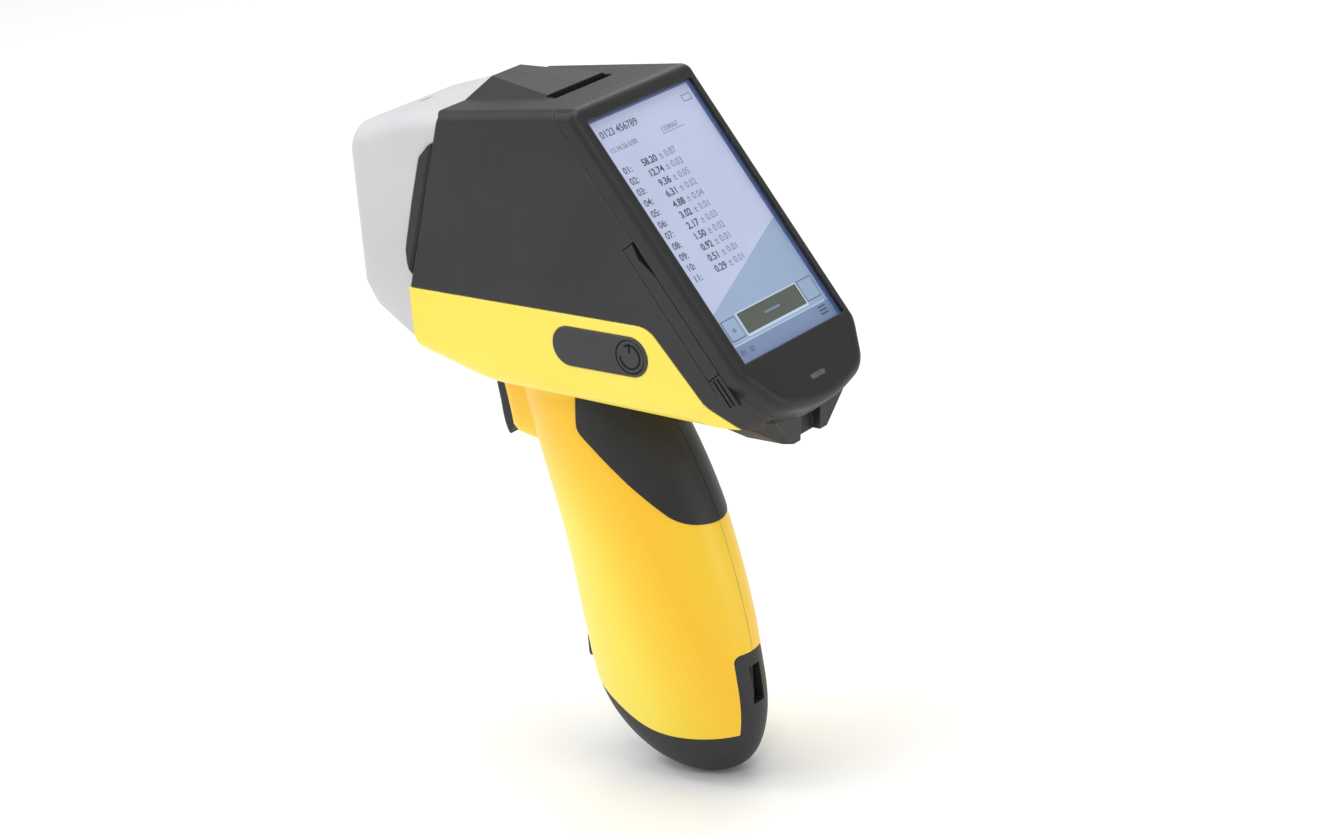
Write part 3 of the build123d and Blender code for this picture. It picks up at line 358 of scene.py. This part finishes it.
def solderMask(name, look):
    # green board with the ghost of its tracks under the mask
    finish, tree, shader, place = startFinish(name)
    tracks = tree.nodes.new("ShaderNodeTexBrick")
    tracks.inputs["Scale"].default_value = look["tracksPerMetre"]
    tracks.inputs["Color1"].default_value = (*look["bare"], 1)
    tracks.inputs["Color2"].default_value = (*look["covered"], 1)
    tracks.inputs["Mortar"].default_value = (*look["track"], 1)
    tree.links.new(place, tracks.inputs["Vector"])
    tree.links.new(tracks.outputs["Color"], shader.inputs["Base Color"])
    haze = addNoise(tree, place, look["haze"])
    rough = addSpan(tree, haze, noiseLow, noiseHigh, look["gloss"], look["matt"])
    tree.links.new(rough, shader.inputs["Roughness"])
    addBump(tree, shader, tracks.outputs["Fac"], look["bump"], look["trackDepth"])
    return finish


weave = {"haze": 30 * mm, "pixel": 0.25 * mm, "gloss": 0.30, "matt": 0.42, "bump": 0.05, "depth": 0.01 * mm}


def litPanel(name, look):
    # a backlit surface: its own light, a little uneven, with a pixel-fine weave
    finish, tree, shader, place = startFinish(name)
    haze = addNoise(tree, place, weave["haze"])
    colour = addRamp(tree, haze, [(noiseLow, look["deep"]), (noiseHigh, look["base"])])
    tree.links.new(colour, shader.inputs["Base Color"])
    tree.links.new(colour, shader.inputs["Emission Color"])
    shader.inputs["Emission Strength"].default_value = look["glow"]
    pixels = addNoise(tree, place, weave["pixel"])
    rough = addSpan(tree, pixels, noiseLow, noiseHigh, weave["gloss"], weave["matt"])
    tree.links.new(rough, shader.inputs["Roughness"])
    addBump(tree, shader, pixels, weave["bump"], weave["depth"])
    return finish


panelLook = {"base": (0.10, 0.15, 0.34), "deep": (0.08, 0.13, 0.30), "glow": 0.5}
lipLook = {"base": (0.09, 0.13, 0.30), "deep": (0.07, 0.11, 0.26), "glow": 0.5}
barLook = steelLook | {"base": (0.05, 0.05, 0.05), "deep": (0.02, 0.02, 0.02)}

finishOf = {
    "nose_paint": powderCoat("nosePowderCoat", noseLook),
    "plate_metal": workedMetal("blastedPlate", plateLook),
    "film": tintedLens("amberFilm", filmLook),
    "seal_rubber": softRubber("sealRubber", sealLook),
    "screw_steel": workedMetal("platedScrew", steelLook),
    "red_led": tintedLens("beamLens", redLook),
    "cover_plastic": mouldedPlastic("coverGrain", coverLook),
    "bezel_plastic": mouldedPlastic("bezelGrain", bezelLook),
    "shell_yellow": satinYellow("shellSatin", shellLook),
    "grip_rubber": softRubber("gripRubber", gripLook),
    "lens_glass": coverGlass("coverGlass", glassLook),
    "panel_glass": litPanel("panelEdgeGlow", panelLook),
    "board_green": solderMask("solderMask", maskLook),
    "switch_plastic": mouldedPlastic("switchBlack", switchLook),
    "led_clear": tintedLens("statusLens", statusLook),
    "bracket_metal": workedMetal("stampedSheet", bracketLook),
    "socket_steel": workedMetal("socketShell", steelLook),
    "spring_steel": workedMetal("springWire", springLook),
    "cell_wrap": mouldedPlastic("cellWrap", cellLook),
    "contact_brass": workedMetal("platedBrass", brassLook),
    "tube_metal": workedMetal("turnedSteel", tubeLook),
    "block_epoxy": mouldedPlastic("pottedBlock", blockLook),
    "keypad_plastic": mouldedPlastic("keypadGrain", keypadLook),
}
ownFinish = {     # the strap bar is blackened, and the gasket's lip glows with painted light from the picture
    "strap_bar": workedMetal("blackenedBar", barLook),
    "display_gasket": litPanel("gasketLip", lipLook),
}
for part in frame["record"]["subparts"]:
    node = nodes[part["node"]]
    node.data.materials.clear()
    node.data.materials.append(ownFinish.get(part["node"], finishOf[part["material_slot"]]))
print("finishes on", len(nodes), "nodes")


# new pieces are laid out flat, then carried to their face by one placement
def facePlace(across, up, out, centre):
    place = Matrix((across, up, out)).transposed().to_4x4()
    place.translation = centre
    return place


weldGap = 0.001 * mm     # points nearer than this are one point


def settle(piece, place, body, finish):
    piece.matrix_world = place @ piece.matrix_world
    bpy.ops.object.select_all(action="DESELECT")
    piece.select_set(True)
    bpy.context.view_layer.objects.active = piece
    bpy.ops.object.transform_apply(location=True, rotation=True, scale=True)
    bpy.ops.object.mode_set(mode="EDIT")
    bpy.ops.mesh.select_all(action="SELECT")
    bpy.ops.mesh.remove_doubles(threshold=weldGap)
    bpy.ops.mesh.normals_make_consistent(inside=False)
    bpy.ops.object.mode_set(mode="OBJECT")
    piece.data.materials.clear()
    piece.data.materials.append(finish)
    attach(piece, body)
    return piece


def flatPlate(name, size, at, corner, level, thick):
    bpy.ops.object.select_all(action="DESELECT")
    bpy.ops.mesh.primitive_plane_add(size=1)
    plate = bpy.context.object
    plate.name = name
    plate.scale = (size[0], size[1], 1)
    bpy.ops.object.transform_apply(location=False, rotation=False, scale=True)
    bpy.ops.object.mode_set(mode="EDIT")
    bpy.ops.mesh.select_all(action="SELECT")
    if corner:
        bpy.ops.mesh.bevel(offset=corner, segments=4, affect="VERTICES")
    bpy.ops.mesh.extrude_region_move(TRANSFORM_OT_translate={"value": (0, 0, thick)})
    bpy.ops.object.mode_set(mode="OBJECT")
    plate.location = (at[0], at[1], level)
    bpy.context.view_layer.update()
    return plate


def flatNumbers(name, words, at, height, weight, align, level, spacing=1.0):
    bpy.ops.object.select_all(action="DESELECT")
    bpy.ops.object.text_add()
    line = bpy.context.object
    line.name = name
    line.data.body = words
    line.data.size = height / capHeight
    line.data.align_x = align
    line.data.space_line = spacing
    line.data.resolution_u = 3
    line.data.offset = weight * height
    line.data.extrude = 0.02 * mm
    line.location = (at[0], at[1], level)
    bpy.context.view_layer.update()
    bpy.ops.object.convert(target="MESH")
    return bpy.context.object


# display picture, under the lens and on the panel
display = {
    "tilt": math.radians(53.0), "lensThick": 1.5 * mm, "gasketThick": 0.6 * mm,
    "inkThick": 0.06 * mm,
}
lit = {"width": 56.1, "length": 93.5, "barLength": 6.1}     # the lit picture and its lower bar
barDown = (lit["length"] - lit["barLength"]) / 2
low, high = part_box("display_lens")
outward = Vector((math.sin(display["tilt"]), 0, math.cos(display["tilt"])))
upward = Vector((-math.cos(display["tilt"]), 0, math.sin(display["tilt"])))
toPanel = display["lensThick"] / 2 + display["gasketThick"]
screenPlace = facePlace(Vector((0, 1, 0)), upward, outward, (low + high) / 2 - outward * toPanel)

pictureTones = {     # colour of each tone, and how strongly it is backlit
    "Face": ((0.50, 0.535, 0.70), 0.44), "Shade": ((0.30, 0.385, 0.53), 0.46),
    "Bar": ((0.19, 0.26, 0.42), 0.42), "Ink": ((0.06, 0.075, 0.12), 0.2),
    "GreyInk": ((0.20, 0.23, 0.32), 0.35), "BlueInk": ((0.12, 0.24, 0.40), 0.4),
    "Button": ((0.075, 0.085, 0.065), 0.4), "Pale": ((0.50, 0.60, 0.70), 0.5),
}


def pictureTone(name):
    colour, glow = pictureTones[name]
    deep = tuple(0.95 * channel for channel in colour)
    return litPanel("picture" + name, {"base": colour, "deep": deep, "glow": glow})


tone = {name: pictureTone(name) for name in pictureTones}


def onScreen(piece, finish):
    return settle(piece, screenPlace, "analyzer_body", finish)


# name, tone, place across and down from the middle in millimetres, size, corner, layer
plates = [
    ("screen_face", tone["Face"], (0.0, 0.0), (lit["width"], lit["length"]), 0, 0),
    ("screen_bar", tone["Bar"], (0.0, barDown), (lit["width"], lit["barLength"]), 0, 1),
    ("screen_bar_line", tone["Pale"], (0.0, 40.5), (52.4, 0.35), 0, 2),
    ("screen_button_edge", tone["Pale"], (1.1, 35.1), (34.6, 9.0), 0.5, 2),
    ("screen_button", tone["Button"], (1.1, 34.9), (33.2, 7.7), 0.3, 3),
    ("screen_left_edge", tone["Ink"], (-20.9, 35.1), (7.6, 7.8), 0.4, 2),
    ("screen_left_key", tone["Shade"], (-20.9, 35.1), (7.0, 7.2), 0.3, 3),
    ("screen_right_edge", tone["Ink"], (22.6, 34.6), (8.0, 7.9), 0.4, 2),
    ("screen_right_key", tone["Shade"], (22.6, 34.6), (7.4, 7.3), 0.3, 3),
    ("screen_button_mark", tone["GreyInk"], (1.1, 34.9), (8.6, 0.9), 0.3, 4),
    ("screen_left_mark", tone["GreyInk"], (-20.9, 35.6), (1.6, 1.6), 0.5, 4),
]
menu = {"across": 22.9, "down": 41.9, "step": 1.25, "count": 3}
plates += [
    (f"screen_menu_{row}", tone["Ink"], (menu["across"], menu["down"] + menu["step"] * row),
     (4.2, 0.55), 0.2, 3)
    for row in range(menu["count"])
]
for name, finish, (across, down), (width, height), corner, layer in plates:
    plate = flatPlate(name, (width * mm, height * mm), (across * mm, -down * mm), corner * mm,
                      layer * display["inkThick"], display["inkThick"] * 0.9)
    onScreen(plate, finish)

# the picture's lower part is darker below a slanting line
shade = {"leftDown": 29.0, "rightDown": 7.4, "bottom": lit["length"] / 2}
shadePlate = flatPlate("screen_shade", (lit["width"] * mm, 1.0), (0, 0), 0,
                       display["inkThick"], display["inkThick"] * 0.5)
for vertex in shadePlate.data.vertices:
    slant = shade["leftDown"] if vertex.co.x < 0 else shade["rightDown"]
    vertex.co.y = -(slant if vertex.co.y > 0 else shade["bottom"]) * mm
onScreen(shadePlate, tone["Shade"])

# plain numbers stand in for the readings
readings = ["58.20", "12.74", "9.36", "6.31", "4.88", "3.02", "2.17", "1.50", "0.92", "0.51", "0.29"]
spreads = ["0.07", "0.03", "0.05", "0.02", "0.04", "0.01", "0.03", "0.02", "0.01", "0.01", "0.01"]
table = {"top": -26.5, "step": 4.24, "height": 2.55, "label": -23.8, "value": -5.9, "spread": -4.6}
spacing = table["step"] * capHeight / table["height"]
rowNumbers = [f"{row + 1:02d}:" for row in range(len(readings))]
rowSpreads = [f"± {spread}" for spread in spreads]
rowWords = {
    "screen_row_numbers": ("\n".join(rowNumbers), "label", "LEFT", tone["Ink"], 0.012),
    "screen_row_values": ("\n".join(readings), "value", "RIGHT", tone["Ink"], 0.03),
    "screen_row_spreads": ("\n".join(rowSpreads), "spread", "LEFT", tone["GreyInk"], 0.0),
}
for name, (words, column, align, finish, weight) in rowWords.items():
    at = (table[column] * mm, -table["top"] * mm)
    numbers = flatNumbers(name, words, at, table["height"] * mm, weight, align,
                          2 * display["inkThick"], spacing)
    onScreen(numbers, finish)

headings = [
    ("screen_heading", "0123 456789", (-23.9, -40.4), 2.7, 0.004, "LEFT", tone["Ink"]),
    ("screen_subheading", "12.34.56 0:00", (-23.9, -34.6), 1.9, 0.0, "LEFT", tone["GreyInk"]),
    ("screen_link", "1234567", (3.6, -34.6), 1.9, 0.002, "LEFT", tone["BlueInk"]),
    ("screen_footer", "01   02", (-24.2, 44.4), 1.9, 0.0, "LEFT", tone["Ink"]),
]
for name, words, (across, down), height, weight, align, finish in headings:
    numbers = flatNumbers(name, words, (across * mm, -down * mm), height * mm, weight, align,
                          3 * display["inkThick"])
    onScreen(numbers, finish)
for name, finish, at, size in (("screen_link_line", tone["BlueInk"], (9.4, -33.9), (11.8, 0.22)),
                               ("screen_mark_frame", tone["GreyInk"], (24.0, -42.2), (4.6, 2.6)),
                               ("screen_mark_fill", tone["Face"], (24.0, -42.2), (3.9, 1.9))):
    layer = 3 if name == "screen_mark_fill" else 2
    plate = flatPlate(name, (size[0] * mm, size[1] * mm), (at[0] * mm, -at[1] * mm), 0,
                      layer * display["inkThick"], display["inkThick"] * 0.8)
    onScreen(plate, finish)
print("display picture laid")

# power mark, inlaid on the round button
mark = {
    "radius": 4.1 * mm, "line": 0.65 * mm, "rise": 0.1 * mm, "gap": math.radians(62), "steps": 48,
    "barLength": 3.4 * mm, "barUp": 3.0 * mm, "barCorner": 0.1 * mm,
}
inlayLook = switchLook | {
    "base": (0.003, 0.003, 0.003), "deep": (0.002, 0.002, 0.002), "edge": (0.01, 0.01, 0.01),
    "rough": 0.6, "specular": 0.2,
}
low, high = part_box("power_button")
buttonFace = Vector(((low.x + high.x) / 2, low.y, (low.z + high.z) / 2))
markPlace = facePlace(Vector((1, 0, 0)), Vector((0, 0, 1)), Vector((0, -1, 0)), buttonFace)
inlay = mouldedPlastic("markInlay", inlayLook)


def ringStrip(name, settings):
    # a square section swept round, left open at the top
    bpy.ops.object.select_all(action="DESELECT")
    bpy.ops.mesh.primitive_plane_add(size=1, rotation=(math.pi / 2, 0, 0))
    strip = bpy.context.object
    strip.name = name
    strip.scale = (settings["line"], settings["rise"], 1)
    strip.location = (settings["radius"], 0, settings["rise"] / 2)
    bpy.ops.object.transform_apply(location=True, rotation=True, scale=True)
    turn = Matrix.Rotation(math.pi / 2 + settings["gap"] / 2, 4, "Z")
    strip.data.transform(turn)
    bpy.ops.object.mode_set(mode="EDIT")
    bpy.ops.mesh.select_all(action="SELECT")
    bpy.ops.mesh.spin(steps=settings["steps"], angle=2 * math.pi - settings["gap"],
                      center=(0, 0, 0), axis=(0, 0, 1))
    bpy.ops.object.mode_set(mode="OBJECT")
    return strip


settle(ringStrip("power_mark_ring", mark), markPlace, "power_button", inlay)
bar = flatPlate("power_mark_bar", (mark["line"], mark["barLength"]), (0, mark["barUp"]),
                mark["barCorner"], 0, mark["rise"])
settle(bar, markPlace, "power_button", inlay)

# contact pads on top of the cell pack, under the spring pins
pads = {
    "pitch": (5 * mm, 7 * mm), "count": (4, 2), "size": 3.0 * mm, "rise": 0.12 * mm,
    "corner": 0.5 * mm, "packLength": 96 * mm,
}
slide = next(joint for joint in frame["joints"] if joint["name"] == "battery_slide")
packUp = -Vector(slide["axis"])
low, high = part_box("battery_pack")
packTop = (low + high) / 2 + packUp * pads["packLength"] / 2
packPlace = facePlace(Vector((0, 1, 0)).cross(packUp), Vector((0, 1, 0)), packUp, packTop)
brass = finishOf["contact_brass"]
for column in range(pads["count"][0]):
    for row in range(pads["count"][1]):
        at = [(index - (count - 1) / 2) * pitch for index, count, pitch
              in zip((column, row), pads["count"], pads["pitch"])]
        pad = flatPlate(f"pack_contact_{column}_{row}", (pads["size"],) * 2, at,
                        pads["corner"], 0, pads["rise"])
        settle(pad, packPlace, "battery", brass)

# dust seal that closes the raised spine over the nose, along the covers' raked edge
seal = {
    "foot": (43.0, 40.2), "head": (54.0, 53.4), "from": 0.2, "to": 5.6,
    "footHalf": 10.6, "headHalf": 6.1, "setBack": 1.6, "thick": 1.0, "corner": 0.6,
}
rake = Vector((seal["head"][0] - seal["foot"][0], 0, seal["head"][1] - seal["foot"][1])).normalized()
rakeOut = Vector((-rake.z, 0, rake.x))
sealPlace = facePlace(rake.cross(rakeOut), rake, rakeOut,
                      Vector((seal["foot"][0], 0, seal["foot"][1])) * mm)
spineSeal = flatPlate("spine_seal", (2 * seal["footHalf"] * mm, (seal["to"] - seal["from"]) * mm),
                      (0, (seal["to"] + seal["from"]) / 2 * mm), seal["corner"] * mm,
                      -seal["setBack"] * mm, seal["thick"] * mm)
for vertex in spineSeal.data.vertices:
    share = vertex.co.y / ((seal["to"] - seal["from"]) * mm) + 0.5
    vertex.co.x *= 1 + (seal["headHalf"] / seal["footHalf"] - 1) * share
settle(spineSeal, sealPlace, "analyzer_body", finishOf["seal_rubber"])
print("marks, contacts and seal placed")


# floor, lights and camera
floorLook = {
    "dull": (0.93, 0.93, 0.93), "clean": (0.95, 0.95, 0.95), "cloud": 0.4,
    "rough": 0.9, "specular": 0.1,
}


def studioFloor(level, look):
    bpy.ops.object.select_all(action="DESELECT")
    bpy.ops.mesh.primitive_plane_add(size=12, location=(0, 0, level))
    floor = bpy.context.object
    floor.name = "studio_floor"
    finish, tree, shader, place = startFinish("paleFloor")
    cloud = addNoise(tree, place, look["cloud"])
    colour = addRamp(tree, cloud, [(noiseLow, look["dull"]), (noiseHigh, look["clean"])])
    tree.links.new(colour, shader.inputs["Base Color"])
    shader.inputs["Roughness"].default_value = look["rough"]
    shader.inputs["Specular IOR Level"].default_value = look["specular"]
    floor.data.materials.append(finish)


studioFloor(cadBox[0].z, floorLook)

lamps = {     # place, size and watts of each soft box
    "key": ((-0.9, -1.2, 0.8), 0.9, 6.0),
    "edge": ((-0.85, -0.5, 1.2), 0.45, 5.0),
    "top": ((0.1, 0.1, 1.5), 1.2, 14.0),
    "crest": ((0.75, -0.95, 1.0), 0.35, 3.0),
    "back": ((-0.6, 1.5, 0.9), 1.0, 6.0),
    "side": ((1.6, 0.1, 0.1), 0.8, 4.0),
}
middle = (cadBox[0] + cadBox[1]) / 2
for name, (at, size, watts) in lamps.items():
    bpy.ops.object.light_add(type="AREA", location=at)
    lamp = bpy.context.object
    lamp.name = name
    lamp.data.shape = "DISK"
    lamp.data.size = size
    lamp.data.energy = watts
    lamp.rotation_euler = (middle - Vector(at)).to_track_quat("-Z", "Y").to_euler()

world = bpy.data.worlds.new("studioWorld")
bpy.context.scene.world = world
world.use_nodes = True
world.node_tree.nodes["Background"].inputs["Color"].default_value = (1, 1, 1, 1)
world.node_tree.nodes["Background"].inputs["Strength"].default_value = 0.5
bpy.context.scene.view_settings.view_transform = "Standard"

shot = {
    "at": (0.82525, -0.90308, 0.36022), "turn": (69.477, 4.507, 36.850),
    "lens": 97.079, "sensor": 36.0,
}
bpy.ops.object.camera_add(location=shot["at"], rotation=[math.radians(a) for a in shot["turn"]])
camera = bpy.context.object
camera.data.lens = shot["lens"]
camera.data.sensor_width = shot["sensor"]
camera.data.sensor_fit = "HORIZONTAL"
bpy.context.scene.camera = camera
print("studio set")
